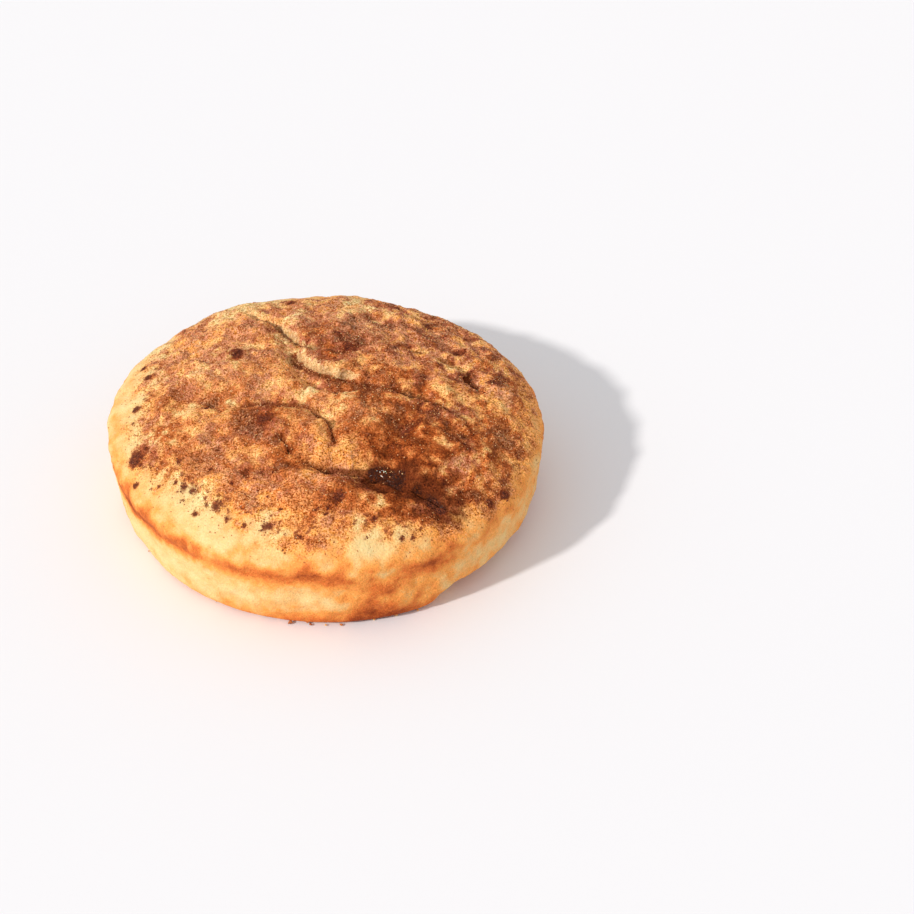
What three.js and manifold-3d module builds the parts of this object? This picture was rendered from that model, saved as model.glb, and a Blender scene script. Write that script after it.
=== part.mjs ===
// A round sweet focaccia: one flattened loaf of coiled dough, with a flat base, a foot moulded by its baking
// ring, a waist where the dough rose over that ring, and a crown creased where the coil's turns meet.
// Millimetres, +Z up. The origin is the middle of the base, and -Y is the front.
import * as THREE from "three";
import { mergeVertices } from "three/addons/utils/BufferGeometryUtils.js";
import Module from "manifold-3d";

// Driving dimensions
const DIAMETER = 130;
const HEIGHT = 42;
const RING_HEIGHT = 20;
const RADIUS = DIAMETER / 2;
const DOME = HEIGHT - RING_HEIGHT;

// Side profile from the crown down: shares of the radius, and of the height over the ring or under it.
// The last point lies below the worktop, which trims the base flat.
const CROWN_PROFILE = [[0, 1], [0.33, 0.96], [0.66, 0.79], [0.88, 0.53], [0.975, 0.3], [1, 0.12]];
const FOOT_PROFILE = [[0.988, 1], [0.98, 0.6], [0.953, 0.14], [0.9, -0.02]];

// The plan is a circle drawn out from back left to front right, with a little unevenness
const PLAN_WAVES = [
  { count: 2, share: 0.0195, turn: 135 },
  { count: 3, share: 0.0065, turn: 30 },
  { count: 5, share: 0.004, turn: 20 },
];

// To the right the dough hung over the ring, so the foot is undercut there. Turns are in degrees.
const UNDERCUT = { depth: 7, height: 8, from: -60.5, full: -51.5, ease: 30, to: 70 };

// Lobes of the coil that stand up from the crown, and two hollows: place in plan, spread and rise
const LOBES = [
  { x: -6, y: -25, spread: 9, rise: 1.6 },
  { x: 24, y: -22, spread: 16, rise: 1.8 },
  { x: 10, y: 22, spread: 15, rise: 1.6 },
  { x: -32, y: 2, spread: 17, rise: 1.2 },
  { x: -28, y: 42, spread: 13, rise: 2.4 },
  { x: 2, y: -52, spread: 12, rise: 1.2 },
  { x: 17, y: -40, spread: 8, rise: -1.8 },
  { x: 36, y: -46, spread: 8, rise: -1.2 },
];

// Creases in plan, drawn so that the far side is on the left of the line. Depth is the valley's, and near
// and far are the heights of the dough that rolls up on each side of it.
const CREASES = [
  { line: [[-22, 37], [-13, 22], [-8, 9], [-2, -3], [12, -4], [32, -9]], depth: 2.8, near: 0.5, far: 1.2 },
  { line: [[-8, 14], [-2, 10], [7, 8]], depth: 1.4, near: 0.3, far: 0.5 },
  { line: [[-26, -9], [-10, -13], [0, -20], [6, -34]], depth: 2.5, near: 0.9, far: 0.8 },
  { line: [[-17, -28], [-8, -35], [2, -38], [16, -41], [40, -47]], depth: 2.8, near: 1.1, far: 0.5 },
  { line: [[-45, -2], [-34, -6], [-24, -16]], depth: 1, near: 0.3, far: 0.3 },
  { line: [[4, 44], [10, 47], [18, 46]], depth: 1.1, near: 0.3, far: 0.4 },
  { line: [[26, 18], [38, 12], [46, 2]], depth: 1.6, near: 0.5, far: 0.6 },
];
const NEAR_SLOPE = 2.1;
const FAR_SLOPE = 3.2;
const NEAR_ROLL = 5;
const FAR_ROLL = 6;
const CREASE_FADE = 0.3;
const CREASE_STEPS = 40;

// The ball of even triangles that is pressed into the loaf: how finely it is cut, how much of it makes the
// crust, how deep its underside sinks into the worktop, how its corners are drawn in to the creases, and the
// share of the dome over which the lobes and creases grow to their full height
const BALL_DETAIL = 22;
const CRUST_SHARE = 0.86;
const BASE_SINK = 4;
const DRAW_IN = { share: 0.5, reach: 3 };
const RELIEF_SHARE = 0.5;
const MERGE_GAP = 1e-5;

const { clamp, degToRad, radToDeg, smoothstep } = THREE.MathUtils;

const PROFILE = new THREE.SplineCurve([
  ...CROWN_PROFILE.map(([across, up]) => new THREE.Vector2(across * RADIUS, RING_HEIGHT + up * DOME)),
  ...FOOT_PROFILE.map(([across, up]) => new THREE.Vector2(across * RADIUS, up * RING_HEIGHT)),
]);

const CREASE_POINTS = CREASES.map(({ line }) =>
  new THREE.SplineCurve(line.map(([x, y]) => new THREE.Vector2(x, y))).getSpacedPoints(CREASE_STEPS),
);

function planFactor(azimuth) {
  return PLAN_WAVES.reduce(
    (factor, wave) => factor + wave.share * Math.cos(wave.count * (azimuth - degToRad(wave.turn))),
    1,
  );
}

// How far the foot draws in at a height, along the undercut stretch of the rim
function undercutAt(azimuth, height) {
  const turn = radToDeg(azimuth);
  const begun = smoothstep(turn, UNDERCUT.from, UNDERCUT.full);
  const ended = smoothstep(turn, UNDERCUT.ease, UNDERCUT.to);
  const low = 1 - smoothstep(height, 0, UNDERCUT.height);
  return UNDERCUT.depth * begun * (1 - ended) * low;
}

function lobeRise(place) {
  return LOBES.reduce((rise, lobe) => {
    const away = Math.hypot(place.x - lobe.x, place.y - lobe.y) / lobe.spread;
    return rise + lobe.rise * Math.exp(-away * away);
  }, 0);
}

// How a place in plan lies to a crease: the nearest point of its line, the distance from it, positive on the
// far side, and the crease's strength there, which fades out at both ends
function lieOf(place, points) {
  const nearest = new THREE.Vector2();
  let distance = Infinity;
  let along = 0;
  for (let step = 0; step < CREASE_STEPS; step++) {
    const run = points[step + 1].clone().sub(points[step]);
    const offset = place.clone().sub(points[step]);
    const share = clamp(offset.dot(run) / run.lengthSq(), 0, 1);
    const foot = points[step].clone().addScaledVector(run, share);
    const away = foot.distanceTo(place);
    if (away < Math.abs(distance)) {
      nearest.copy(foot);
      distance = run.cross(offset) > 0 ? away : -away;
      along = (step + share) / CREASE_STEPS;
    }
  }
  const strength = smoothstep(along, 0, CREASE_FADE) * (1 - smoothstep(along, 1 - CREASE_FADE, 1));
  return { nearest, distance, strength };
}

// Moves a place in plan towards the creases near it, so that each valley has corners along its floor
function drawIn(place) {
  CREASE_POINTS.forEach((points) => {
    const { nearest, distance, strength } = lieOf(place, points);
    place.lerp(nearest, DRAW_IN.share * strength * Math.exp(-((distance / DRAW_IN.reach) ** 2)));
  });
}

// A roll of dough beside a crease climbs quickly to its height, then falls away slowly
function roll(distance, height, width) {
  return height * (distance / width) * Math.exp(1 - distance / width);
}

function creaseRise(place) {
  return CREASES.reduce((rise, crease, index) => {
    const { distance, strength } = lieOf(place, CREASE_POINTS[index]);
    const isFar = distance > 0;
    const slope = isFar ? FAR_SLOPE : NEAR_SLOPE;
    const lip = isFar ? roll(distance, crease.far, FAR_ROLL) : roll(-distance, crease.near, NEAR_ROLL);
    const valley = crease.depth * Math.exp(-((distance / slope) ** 2));
    return rise + strength * (lip - valley);
  }, 0);
}

// Where a point of the ball lands on the loaf
function loafPoint(direction) {
  const azimuth = Math.atan2(direction.y, direction.x);
  const share = Math.acos(clamp(direction.z, -1, 1)) / Math.PI;
  const side = PROFILE.getPointAt(Math.min(share / CRUST_SHARE, 1));
  const underneath = Math.max(0, (share - CRUST_SHARE) / (1 - CRUST_SHARE));
  const radius = (side.x * planFactor(azimuth) - undercutAt(azimuth, side.y)) * (1 - underneath);
  const place = new THREE.Vector2(radius * Math.cos(azimuth), radius * Math.sin(azimuth));
  const crown = smoothstep(side.y, RING_HEIGHT, RING_HEIGHT + RELIEF_SHARE * DOME);
  let relief = 0;
  if (crown > 0) {
    drawIn(place);
    relief = crown * (lobeRise(place) + creaseRise(place));
  }
  return new THREE.Vector3(place.x, place.y, side.y + relief - BASE_SINK * underneath);
}

function bare(geometry) {
  geometry.deleteAttribute("normal");
  geometry.deleteAttribute("uv");
  return mergeVertices(geometry, MERGE_GAP);
}

function loafGeometry() {
  const loaf = bare(new THREE.IcosahedronGeometry(1, BALL_DETAIL));
  const places = loaf.getAttribute("position");
  const direction = new THREE.Vector3();
  for (let i = 0; i < places.count; i++) {
    const point = loafPoint(direction.fromBufferAttribute(places, i).normalize());
    places.setXYZ(i, point.x, point.y, point.z);
  }
  loaf.computeBoundingBox();
  const middle = loaf.boundingBox.getCenter(new THREE.Vector3());
  return loaf.translate(-middle.x, -middle.y, 0);
}

// The worktop under the loaf, which trims its base flat
function worktopGeometry() {
  return bare(new THREE.BoxGeometry(2 * DIAMETER, 2 * DIAMETER, HEIGHT)).translate(0, 0, -HEIGHT / 2);
}

const wasm = await Module();
wasm.setup();

function solidOf(geometry) {
  return new wasm.Manifold(
    new wasm.Mesh({
      numProp: 3,
      vertProperties: geometry.getAttribute("position").array,
      triVerts: new Uint32Array(geometry.index.array),
    }),
  );
}

function geometryOf(solid) {
  const mesh = solid.getMesh();
  const geometry = new THREE.BufferGeometry();
  geometry.setAttribute("position", new THREE.BufferAttribute(new Float32Array(mesh.vertProperties), 3));
  geometry.setIndex(new THREE.BufferAttribute(new Uint32Array(mesh.triVerts), 1));
  return geometry;
}

const focaccia = new THREE.Mesh(
  geometryOf(solidOf(loafGeometry()).subtract(solidOf(worktopGeometry()))),
  new THREE.MeshStandardMaterial({ color: 0xc98a4b, roughness: 0.8, metalness: 0 }),
);
focaccia.name = "focaccia";

const part = new THREE.Group();
part.add(focaccia);

export default part;
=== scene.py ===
# %% [markdown]
# # A round sweet focaccia
#
# The loaf is a coil of soft dough that was pressed into a ring, dusted with cinnamon and sugar, and baked. In
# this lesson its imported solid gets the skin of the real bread: folds that tore open, a browned ring line, a
# grainy coat of spice, dark clumps, melted sugar and loose crystals. Every step works in the loaf's own
# frame, with the base on the ground and the front towards -Y. Blender counts in metres, and the lists below
# are in millimetres.

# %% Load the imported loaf
import math
from collections import namedtuple

import bpy
import numpy as np
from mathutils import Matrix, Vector, noise


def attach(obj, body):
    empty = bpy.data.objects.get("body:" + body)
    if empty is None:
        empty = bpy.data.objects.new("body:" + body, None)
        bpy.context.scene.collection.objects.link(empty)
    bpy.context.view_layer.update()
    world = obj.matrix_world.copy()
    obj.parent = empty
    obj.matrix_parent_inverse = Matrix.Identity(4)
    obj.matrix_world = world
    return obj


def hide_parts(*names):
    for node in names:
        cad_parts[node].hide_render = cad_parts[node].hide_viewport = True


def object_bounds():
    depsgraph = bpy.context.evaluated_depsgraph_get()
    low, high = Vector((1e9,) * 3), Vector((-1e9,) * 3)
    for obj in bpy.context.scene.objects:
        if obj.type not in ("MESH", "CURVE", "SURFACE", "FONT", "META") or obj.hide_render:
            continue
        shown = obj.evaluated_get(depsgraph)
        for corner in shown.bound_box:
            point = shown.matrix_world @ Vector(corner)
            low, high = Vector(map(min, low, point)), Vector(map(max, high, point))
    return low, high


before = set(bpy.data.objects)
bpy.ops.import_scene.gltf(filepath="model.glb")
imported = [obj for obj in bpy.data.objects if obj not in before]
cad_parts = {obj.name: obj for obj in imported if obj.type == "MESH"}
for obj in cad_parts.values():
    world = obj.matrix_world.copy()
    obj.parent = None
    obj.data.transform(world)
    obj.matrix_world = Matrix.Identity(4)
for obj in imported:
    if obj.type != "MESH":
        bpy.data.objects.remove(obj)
cad_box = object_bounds()
MM = 0.001
print("the packed loaf measures", [round(side / MM, 1) for side in cad_box[1] - cad_box[0]], "mm")

# %% [markdown]
# ## The camera
#
# A still life like this is taken from a standing cook's view, about 39 degrees above the table. A long lens
# from 0.7 m keeps the loaf's ellipse flat and natural. The camera aims past the loaf's middle, so that the
# loaf stands to the left.

# %% Place the camera
CAMERA_RISE = math.radians(38.6)
CAMERA_DISTANCE = 700 * MM
LOOK_AT = Vector((39.0, -10.5, 20.0)) * MM
SENSOR_WIDTH = 36.0
FOCAL_PIXELS = 2395
IMAGE_PIXELS = 914

towards_camera = Vector((0, -math.cos(CAMERA_RISE), math.sin(CAMERA_RISE)))
bpy.ops.object.camera_add(
    location=LOOK_AT + CAMERA_DISTANCE * towards_camera,
    rotation=(math.pi / 2 - CAMERA_RISE, 0, 0),
)
camera = bpy.context.object
camera.data.sensor_width = SENSOR_WIDTH
camera.data.lens = SENSOR_WIDTH * FOCAL_PIXELS / IMAGE_PIXELS
bpy.context.scene.camera = camera
print("the lens is", round(camera.data.lens, 1), "mm")

# %% [markdown]
# ## The floor
#
# The ground is plain and nearly white. A large plane is enough. It lies a hair below the loaf's base, because
# two surfaces at one height would flicker into each other.

# %% Lay the floor
FLOOR_SIZE = 6.0
FLOOR_DROP = 0.2 * MM
FLOOR_LOOK = {"Base Color": (0.82, 0.81, 0.82, 1), "Roughness": 0.7}


def set_inputs(node, values):
    """Sets several inputs of a shader node by their names."""
    for name, value in values.items():
        node.inputs[name].default_value = value


bpy.ops.mesh.primitive_plane_add(size=FLOOR_SIZE, location=(0, 0, -FLOOR_DROP))
floor = bpy.context.object
floor.name = "floor"
floor_finish = bpy.data.materials.new("white_table")
floor_finish.use_nodes = True
set_inputs(floor_finish.node_tree.nodes["Principled BSDF"], FLOOR_LOOK)
floor.data.materials.append(floor_finish)
print("the floor is", FLOOR_SIZE, "m across")

# %% [markdown]
# ## The light
#
# One strong lamp far off on the left, a little to the front, rakes over the crown so that each fold throws
# a shadow. A sun lamp lights the whole table evenly, and its angle sets how soft the shadow's edge is. The
# white surroundings fill the shadows, and a plain view transform keeps the colours as they are mixed.

# %% Hang the lamp
LAMP_FROM = Vector((-0.8, -0.6, 0))
LAMP_RISE = math.radians(33)
LAMP_STRENGTH = 2.6
LAMP_ANGLE = math.radians(4)
LAMP_COLOUR = (1, 0.97, 0.94)
SURROUND_LOOK = {"Color": (0.97, 0.98, 1, 1), "Strength": 0.76}

lamp_way = LAMP_FROM.normalized() * math.cos(LAMP_RISE) + Vector((0, 0, math.sin(LAMP_RISE)))
bpy.ops.object.light_add(type="SUN", location=lamp_way)
lamp = bpy.context.object
lamp.rotation_euler = (-lamp_way).to_track_quat("-Z", "Y").to_euler()
lamp.data.angle = LAMP_ANGLE
lamp.data.energy = LAMP_STRENGTH
lamp.data.color = LAMP_COLOUR

surround = bpy.data.worlds.new("surround")
surround.use_nodes = True
set_inputs(surround.node_tree.nodes["Background"], SURROUND_LOOK)
bpy.context.scene.world = surround
bpy.context.scene.view_settings.view_transform = "Standard"
print("the lamp stands", round(math.degrees(LAMP_RISE)), "degrees above the table")

# %% [markdown]
# ## An even skin
#
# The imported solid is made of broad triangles, but a baked crust bends everywhere, so its skin needs small,
# even faces. Subdividing would keep the uneven triangles, so a copy is merged and then remeshed on a fine
# grid. The hidden base needs no such detail: it is sliced off and closed with one flat face, which is
# extruded in place and drawn in a little so that it has corners of its own to paint.

# %% Copy, merge and remesh the loaf
MERGE_GAP = 0.001 * MM
SKIN_STEP = 0.62 * MM
SLICE_HEIGHT = 0.6 * MM
BASE_SHARE = 0.97


def set_mode(mode):
    """Goes to edit mode, or back to object mode."""
    bpy.ops.object.mode_set(mode=mode)


def choose(piece):
    """Makes one piece the only selected and active object."""
    bpy.ops.object.select_all(action="DESELECT")
    piece.select_set(True)
    bpy.context.view_layer.objects.active = piece


crust = bpy.data.objects.new("crust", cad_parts["focaccia"].data.copy())
bpy.context.scene.collection.objects.link(crust)
crust.data.materials.clear()
choose(crust)
set_mode("EDIT")
bpy.ops.mesh.select_all(action="SELECT")
bpy.ops.mesh.remove_doubles(threshold=MERGE_GAP)
set_mode("OBJECT")
crust.data.remesh_voxel_size = SKIN_STEP
bpy.ops.object.voxel_remesh()
set_mode("EDIT")
bpy.ops.mesh.select_all(action="SELECT")
bpy.ops.mesh.bisect(plane_co=(0, 0, SLICE_HEIGHT), plane_no=(0, 0, 1), use_fill=True, clear_inner=True)
set_mode("OBJECT")
base_from = len(crust.data.vertices)
set_mode("EDIT")
bpy.ops.mesh.extrude_region()
bpy.ops.transform.resize(value=(BASE_SHARE, BASE_SHARE, 1), center_override=(0, 0, SLICE_HEIGHT))
set_mode("OBJECT")
base_corners = len(crust.data.vertices) - base_from
print("the skin has", len(crust.data.polygons), "faces, and the base", base_corners, "corners")

# %% [markdown]
# ## Smoothing and settling
#
# The grid leaves small steps, and the solid's triangles still show as flats. Repeated smoothing of all but
# the base melts both away, as proving dough does. The slice above lifted the base a little, so the foot is
# then drawn down until it meets the ground again.

# %% Smooth the skin and settle the foot
SMOOTH_FACTOR = 0.5
FOOT_BLEND = 8.0


def places_of(piece):
    """The places of a piece's vertices, in millimetres."""
    flat = np.empty(3 * len(piece.data.vertices), np.float32)
    piece.data.vertices.foreach_get("co", flat)
    return flat.reshape(-1, 3).astype(float) / MM


def move_to(piece, places):
    """Moves a piece's vertices to new places, given in millimetres."""
    piece.data.vertices.foreach_set("co", (places * MM).astype(np.float32).ravel())
    piece.data.update()


def smooth_vertices(piece, wanted, rounds):
    """Smooths the vertices that a yes-or-no array marks, and nothing else."""
    choose(piece)
    set_mode("EDIT")
    bpy.ops.mesh.select_mode(type="VERT")
    bpy.ops.mesh.select_all(action="DESELECT")
    set_mode("OBJECT")
    piece.data.vertices.foreach_set("select", wanted)
    set_mode("EDIT")
    bpy.ops.mesh.vertices_smooth(factor=SMOOTH_FACTOR, repeat=rounds)
    set_mode("OBJECT")


def ease(value, low, high):
    """Rises smoothly from 0 at low to 1 at high."""
    share = np.clip((value - low) / (high - low), 0, 1)
    return share * share * (3 - 2 * share)


slice_at = SLICE_HEIGHT / MM
smooth_vertices(crust, places_of(crust)[:, 2] > slice_at + MERGE_GAP / MM, rounds=14)
places = places_of(crust)
places[:, 2] -= slice_at * (1 - ease(places[:, 2], slice_at, FOOT_BLEND))
move_to(crust, places)
print("the smoothed skin is", round(places[:, 2].max(), 2), "mm high")

# %% [markdown]
# ## Swells and hollows
#
# Gas lifts some turns of the coil, and others sink as the loaf cools. The solid has the broadest. A
# sculpting brush would add the smaller ones by hand. Here each is a soft round patch of the plan with a
# place, a radius and a height, from the back to the front, because a list can be tuned patch by patch.

# %% Raise the swells and sink the hollows
SWELLS = [
    (-28, 14, 6, 0.8), (8, 22, 8, 0.9), (24, 44, 8, 0.9), (-28, 31, 6, 0.7), (-34, 5, 8, 0.9),
    (-38, -18, 7, 0.9), (6, -8, 7, 0.9), (13, -16, 7, 1.1), (13, -26, 5, 0.9), (-12, -16, 6, 1.0),
    (-4, -22, 5.5, 1.0), (1, -28, 4, 0.4), (7.5, -28, 3.5, 0.5), (4.5, -21, 3, 0.3), (37, -27, 8, 1.1),
    (28, 8, 8, 0.9), (20, -46, 6, 0.9), (6, -43, 6, 1.0), (-8, -41, 6, 1.0), (-22, -45, 7, 0.8),
]
HOLLOWS = [
    (2, 14, 6, 0.7), (-24, 24, 5, 0.6), (-14, 42, 6, 0.8), (16, 34, 6, 0.9), (34, 28, 8, 1.4),
    (-42, 22, 6, 0.6), (-16, -28, 4.5, 1.2), (-28, -5, 6, 0.8), (-15, -8, 5, 0.6), (-44, -10, 6, 0.8),
    (-32, -30, 5, 0.8), (21, -29, 6.5, 2.8), (24, -19, 6, 1.8), (48, -6, 7, 1.2), (18, -35, 4.5, 0.5),
    (-4, -31, 4.5, 0.6), (5, -33, 4, 0.3), (28, -42, 6, 1.0), (40, -36, 6, 1.0), (-24, -38, 5, 0.6),
]
CROWN_FROM, CROWN_FULL = 22.0, 27.0


def bell(away, width, power=2):
    """A soft bump: 1 in its middle, and near 0 twice its width away. A lower power makes its tip sharper."""
    return np.exp(-np.abs(away / width) ** power)


def patchwork(plan, patches):
    """The sum of soft round patches, each given as (x, y, radius, amount)."""
    return sum(
        amount * bell(np.hypot(plan[:, 0] - x, plan[:, 1] - y), radius) for x, y, radius, amount in patches
    )


crown = ease(places[:, 2], CROWN_FROM, CROWN_FULL)
on_crown = np.flatnonzero(crown > 0)
crown = crown[on_crown]
risen = places[on_crown]
plan = risen[:, :2]
places[on_crown, 2] += crown * (patchwork(plan, SWELLS) - patchwork(plan, HOLLOWS))
print("shaped", len(SWELLS), "swells and", len(HOLLOWS), "hollows")

# %% [markdown]
# ## Folds that tore open
#
# Where two turns of the coil meet, the near turn rolls over the far one, and the crust between them splits.
# The solid has the broad valleys, and here each gets its sharp slit. First each fold is drawn as a smooth
# curve of the plan, with the depth of its slit and valley, the rise of its lip and torn ledge, how far its
# valley reaches on each side, and how much its crease is darkened by gathered spice and painted shade.

# %% Draw the lines of the folds
Fold = namedtuple("Fold", "line slit lip valley near far stain ledge edge fade", defaults=(0.0, "plain", 5.0))
FOLDS = {
    "back_fold": Fold(
        [(-25, 39), (-20, 36.5), (-14, 32), (-9.3, 24), (-5.3, 17.7), (-1, 14)],
        slit=1.8, lip=0.7, valley=1.8, near=4, far=1.6, stain=0.9, ledge=0.5, edge="torn",
    ),
    "branch": Fold(
        [(-7, 18.5), (-2, 15.5), (4, 14), (10, 13.5)],
        slit=0.7, lip=0.3, valley=0.5, near=2.5, far=3, stain=0.5, ledge=0.2,
    ),
    "torn_ledge": Fold(
        [(-9.5, 19.5), (-9, 15.3), (-6, 10.8), (-1.8, 5.1), (4, 2.1), (13, 0.8)],
        slit=1.1, lip=0.2, valley=1.1, near=5, far=1.2, stain=1, ledge=1.1, edge="torn",
    ),
    "middle_fold": Fold(
        [(10, -1.5), (18, -2.5), (26, -5), (34, -9), (44, -16)],
        slit=1.8, lip=1.2, valley=1.4, near=2, far=4, stain=0.9, ledge=0.4,
    ),
    "torn_scrap": Fold(
        [(-3, 0.5), (-5, -5), (-6.5, -10)],
        slit=0.6, lip=0.2, valley=0, near=1, far=1, stain=0.3, ledge=1.1, edge="torn",
    ),
    "front_lobe": Fold(
        [(-28, -8.5), (-18, -9.5), (-9, -11), (-2, -15), (2.5, -22), (5.8, -30)],
        slit=2, lip=1.2, valley=0.9, near=2, far=5, stain=1, fade=10,
    ),
    "near_lip": Fold(
        [
            (-12.5, -22), (-11, -25.5), (-9.5, -28.5), (-7, -31.8), (-3, -34.2), (2, -35.6), (13, -37),
            (20, -38.2), (26, -40.2), (31, -42.5), (44, -47),
        ],
        slit=2.2, lip=1.3, valley=1, near=1.2, far=5, stain=1.1, edge="thin", fade=8,
    ),
    "left_groove": Fold(
        [(-46, 0), (-33, -5), (-20, -9.5)],
        slit=0.4, lip=0.4, valley=1.5, near=4, far=5, stain=0.3,
    ),
    "upper_groove": Fold(
        [(-44, 18), (-34, 21), (-24, 20), (-17, 16)],
        slit=0.2, lip=0.4, valley=1.2, near=5, far=5, stain=0.2,
    ),
    "rim_fold": Fold(
        [(0, 44), (8, 47), (18, 46)],
        slit=0.9, lip=0.5, valley=0.8, near=2, far=4, stain=0.5, ledge=0.2,
    ),
    "right_fold": Fold(
        [(24, 19), (37, 13), (47, 1)],
        slit=1.6, lip=1, valley=1.8, near=1.5, far=6, stain=0.8, ledge=0.4,
    ),
}
FOLD_STEPS = 24


def smooth_line(points):
    """A line of short steps that runs smoothly through a few points of the plan."""
    given = np.array(points, float)
    ends = [2 * given[0] - given[1], *given, 2 * given[-1] - given[-2]]
    share = np.linspace(0, 1, FOLD_STEPS, endpoint=False)[:, None]
    runs = []
    for before, start, stop, after in zip(ends, ends[1:], ends[2:], ends[3:]):
        turn = 2 * before - 5 * start + 4 * stop - after
        bend = 3 * start - before - 3 * stop + after
        runs.append(start + 0.5 * (share * (stop - before) + share**2 * turn + share**3 * bend))
    return np.vstack([*runs, given[-1:]])


lines = {name: smooth_line(fold.line) for name, fold in FOLDS.items()}
print("drew", len(lines), "folds of", sum(len(line) for line in lines.values()), "steps")

# %% [markdown]
# ## Pressing the folds
#
# The near lip is pulled across the slit so that it overhangs, the slit is pressed in, and its far edge
# stands up raw where the skin tore. Moving the vertices by a rule of their distance from the line does what
# a thumb would do, and can be repeated. The same distance tells where pale crumb shows, and where the
# crease is darkened: partly by spice that gathered in it, and partly by painted shade that deepens its
# shadow.

# %% Press the folds into the crown
# Where each edge's dark crease band lies, painted shade with gathered spice: shift across the line, width
SHADE_AND_SPICE_BANDS = {"plain": (0.8, 1.2), "torn": (-0.9, 1.5), "thin": (0.4, 0.9)}
TORN_PATCHES = [(-7.2, 14.4, 1.2, 0.9), (-4.8, 11, 1.3, 0.9), (-2.3, 7.5, 1.2, 0.6), (-2.8, -8.5, 2.0, 0.5)]
TORN_AMOUNT = 1.3
SLIT_WIDTH, SLIT_POWER = 0.9, 1.5
LIP_WIDTH, LIP_RISE = 1.9, 0.4
LEDGE_FROM, LEDGE_FULL, LEDGE_FALL = 0.1, 1.2, 6.0
FACE_FULL, FACE_FADE, FACE_END = 0.4, 0.72, 1.56
WANDER, RAGGED = 0.9, 0.7


def lie_of(plan, line):
    """How places lie to a line: distance, positive on its far side, share along it, and way to that side."""
    nearest = np.full(len(plan), np.inf)
    distance, along, way = np.zeros(len(plan)), np.zeros(len(plan)), np.zeros((len(plan), 2))
    for step, (start, stop) in enumerate(zip(line, line[1:])):
        run = stop - start
        offset = plan - start
        share = np.clip(offset @ run / (run @ run), 0, 1)
        away = np.linalg.norm(offset - share[:, None] * run, axis=1)
        closer = away < nearest
        far_side = run[0] * offset[:, 1] - run[1] * offset[:, 0] > 0
        nearest[closer] = away[closer]
        distance[closer] = np.where(far_side, away, -away)[closer]
        along[closer] = ((step + share) / (len(line) - 1))[closer]
        way[closer] = np.array([-run[1], run[0]]) / np.linalg.norm(run)
    return distance, along, way


def mottle(places, size, seed):
    """Soft random values from about -0.7 to 0.7 that change over a given size, in millimetres."""
    shift = Vector((seed, -seed, 2 * seed))
    return np.array([noise.noise(Vector(place) / size + shift) for place in places])


wander = WANDER * mottle(risen, size=3.5, seed=3.1)
ragged = 1 + RAGGED * mottle(risen, size=1.3, seed=6.3)
crease_shade_and_spice, torn_share = np.zeros(len(places)), np.zeros(len(places))
for name, fold in FOLDS.items():
    distance, along, way = lie_of(plan, lines[name])
    fade = fold.fade / np.linalg.norm(np.diff(lines[name], axis=0), axis=1).sum()
    strength = crown * ease(along, 0, fade) * (1 - ease(along, 1 - fade, 1))
    offset = distance + wander
    slit = bell(offset, SLIT_WIDTH, SLIT_POWER)
    near = np.clip(-offset / LIP_WIDTH, 0, None)
    lip = near * np.exp(1 - near)
    ledge = ease(offset, LEDGE_FROM, LEDGE_FULL)
    ledge *= np.exp(-np.clip(offset - LEDGE_FULL, 0, None) / LEDGE_FALL)
    face = ease(offset, 0, FACE_FULL) * (1 - ease(offset, FACE_FADE, FACE_END))
    valley = bell(offset, np.where(offset > 0, fold.far, fold.near))
    rise = LIP_RISE * fold.lip * lip + fold.ledge * ledge * ragged
    rise -= fold.slit * slit + fold.valley * valley
    places[on_crown, :2] += (fold.lip * strength * lip)[:, None] * way
    places[on_crown, 2] += strength * rise
    # The crease darkens by painted shade, with the spice that gathers in it.
    shift, width = SHADE_AND_SPICE_BANDS[fold.edge]
    crease_shade_and_spice[on_crown] += fold.stain * strength * bell(offset - shift, width, SLIT_POWER)
    torn_share[on_crown] += TORN_AMOUNT * strength * face * ragged * min(1, fold.ledge)
torn_share[on_crown] += ragged * patchwork(plan, TORN_PATCHES)
move_to(crust, places)
print("the deepest slit goes down", max(fold.slit for fold in FOLDS.values()), "mm")

# %% [markdown]
# ## How far the spice reaches
#
# Cinnamon sugar was scattered by hand, and it stops short of the rim, where pale dough shows. Such facts
# become amounts from 0 to 1 for each vertex, so that the relief, the material and the loose grains can all
# use them. The reach is given by the bearing round the loaf, and soft noise of three sizes makes its edge
# uneven, as powder falls.

# %% Find how far the coat reaches
COAT_EDGE = [
    (-180, 53), (-170, 55), (-158, 58), (-147, 56), (-135, 53), (-125, 55), (-116, 54.5), (-110, 51),
    (-105, 55.5), (-100, 58), (-92, 59), (-86, 56), (-78, 56), (-70, 59.5), (-60, 62.5), (-50, 64),
    (-29, 63.5), (0, 63), (40, 64), (70, 60), (90, 53), (110, 56), (130, 62), (150, 59), (165, 54),
    (180, 53),
]
MOTTLES = [(9, 1.7), (3.5, 5.3), (1.4, 9.1)]
COVER_REACH = (-1, 4, 4, 0)
COAT_FADE = 8.0
TOP_FULL = 30.0


def by_bearing(table, bearings):
    """An amount for each bearing, in degrees, from a table of bearings and amounts."""
    return np.interp(bearings, *np.array(table, float).T)


def uneven(level, broad_share, middling_share, fine_share):
    """A level that wavers by shares of the skin's broad, middling and fine noise."""
    return level + broad_share * broad + middling_share * middling + fine_share * fine


places = places_of(crust)
plan, height = places[:, :2], places[:, 2]
bearing = np.degrees(np.arctan2(plan[:, 1], plan[:, 0]))
broad, middling, fine = (mottle(places, size, seed) for size, seed in MOTTLES)
on_top = ease(height, CROWN_FROM, TOP_FULL)
inside = by_bearing(COAT_EDGE, bearing) - np.linalg.norm(plan, axis=1)
cover = ease(inside + uneven(*COVER_REACH), -COAT_FADE, COAT_FADE) * on_top
print("the spice reaches over", round(100 * float(cover.mean())), "% of the skin")
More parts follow.
